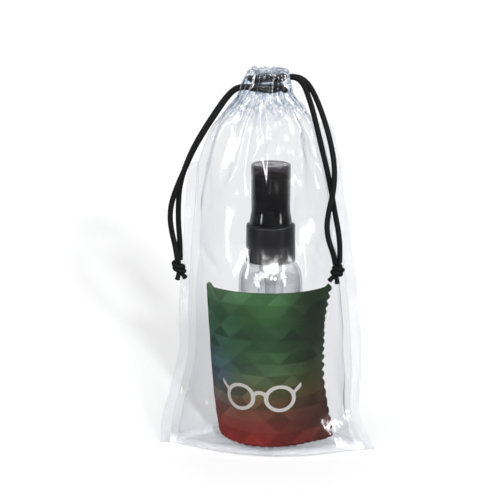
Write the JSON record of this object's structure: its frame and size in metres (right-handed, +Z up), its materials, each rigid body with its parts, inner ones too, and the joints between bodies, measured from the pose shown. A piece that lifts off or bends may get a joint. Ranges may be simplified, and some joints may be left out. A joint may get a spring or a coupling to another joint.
{
  "type": "lens cleaning spray kit",
  "caption": "Clear drawstring pouch with black cords, standing upright, holding a fine-mist lens spray bottle with pump and overcap and a folded printed microfibre cloth.",
  "frame": {"origin": "on the floor, at the pouch's flat underside below the bottle's axis", "axes": "+Z up along the bottle; -Y is the front, where the cloth shows; +X to the right seen from the front"},
  "size_m": [0.107, 0.0396, 0.1845],
  "materials": {
    "clear_plastic": "clear, glossy",
    "clear_liquid": "clear liquid",
    "clear_film": "clear soft vinyl film, glossy",
    "welded_film": "heat-welded film with a fine dotted pattern",
    "printed_microfibre": "matt knit with an all-over printed colour fade",
    "black_cord": "braided cord",
    "black_plastic": "satin",
    "smoke_plastic": "glossy, smoke tinted, see-through",
    "white_plastic": "natural white",
    "white_foam": "soft foam",
    "milky_tube": "milky",
    "steel_ball": "polished",
    "spring_steel": "drawn wire"
  },
  "bodies": {
    "kit": {"bottle": "clear_plastic", "cleaning_liquid": "clear_liquid", "cleaning_cloth": "printed_microfibre", "pouch_front_panel": "clear_film", "pouch_back_panel": "clear_film", "bottom_weld": "welded_film", "left_side_weld": "welded_film", "right_side_weld": "welded_film", "hem_front": "clear_film", "hem_back": "clear_film", "right_cord_in_hem": "black_cord", "left_cord_in_hem": "black_cord", "right_cord_back_strand": "black_cord", "right_cord_front_strand": "black_cord", "left_cord_back_strand": "black_cord", "left_cord_front_strand": "black_cord", "right_cord_knot": "black_cord", "left_cord_knot": "black_cord"},
    "pump": {"pump_housing": "white_plastic", "pump_turret": "white_plastic", "dip_tube": "milky_tube", "neck_gasket": "white_foam", "return_spring": "spring_steel"},
    "collar": {"screw_collar": "black_plastic"},
    "valve_ball": {"check_ball": "steel_ball"},
    "stem": {"pump_stem": "white_plastic", "pump_piston": "white_plastic"},
    "actuator": {"spray_actuator": "black_plastic", "nozzle_insert": "black_plastic"},
    "overcap": {"overcap": "smoke_plastic"}
  },
  "joints": [
    {"name": "pump_rise", "type": "slide", "parent": "kit", "child": "pump", "axis": [0, 0, 1], "range_m": [0, 0.00476]},
    {"name": "collar_turn", "type": "hinge", "parent": "pump", "child": "collar", "pos_m": [0, 0, 0.1], "axis": [0, 0, 1], "range_deg": [0, 540]},
    {"name": "overcap_lift", "type": "slide", "parent": "pump", "child": "overcap", "axis": [0, 0, 1], "range_m": [0, 0.024]},
    {"name": "actuator_press", "type": "slide", "parent": "pump", "child": "stem", "axis": [0, 0, -1], "range_m": [0, 0.0045], "stiffness_N_per_m": 2000, "springref_m": -0.0015, "deforming": ["return_spring"]},
    {"name": "actuator_swivel", "type": "hinge", "parent": "stem", "child": "actuator", "pos_m": [0, 0, 0.12], "axis": [0, 0, 1], "continuous": true},
    {"name": "ball_lift", "type": "slide", "parent": "pump", "child": "valve_ball", "axis": [0, 0, 1], "range_m": [0, 0.0012]}
  ],
  "couplings": [
    {"joint": "collar_turn", "follows": "pump_rise", "rad_per_m": 1975.8}
  ]
}
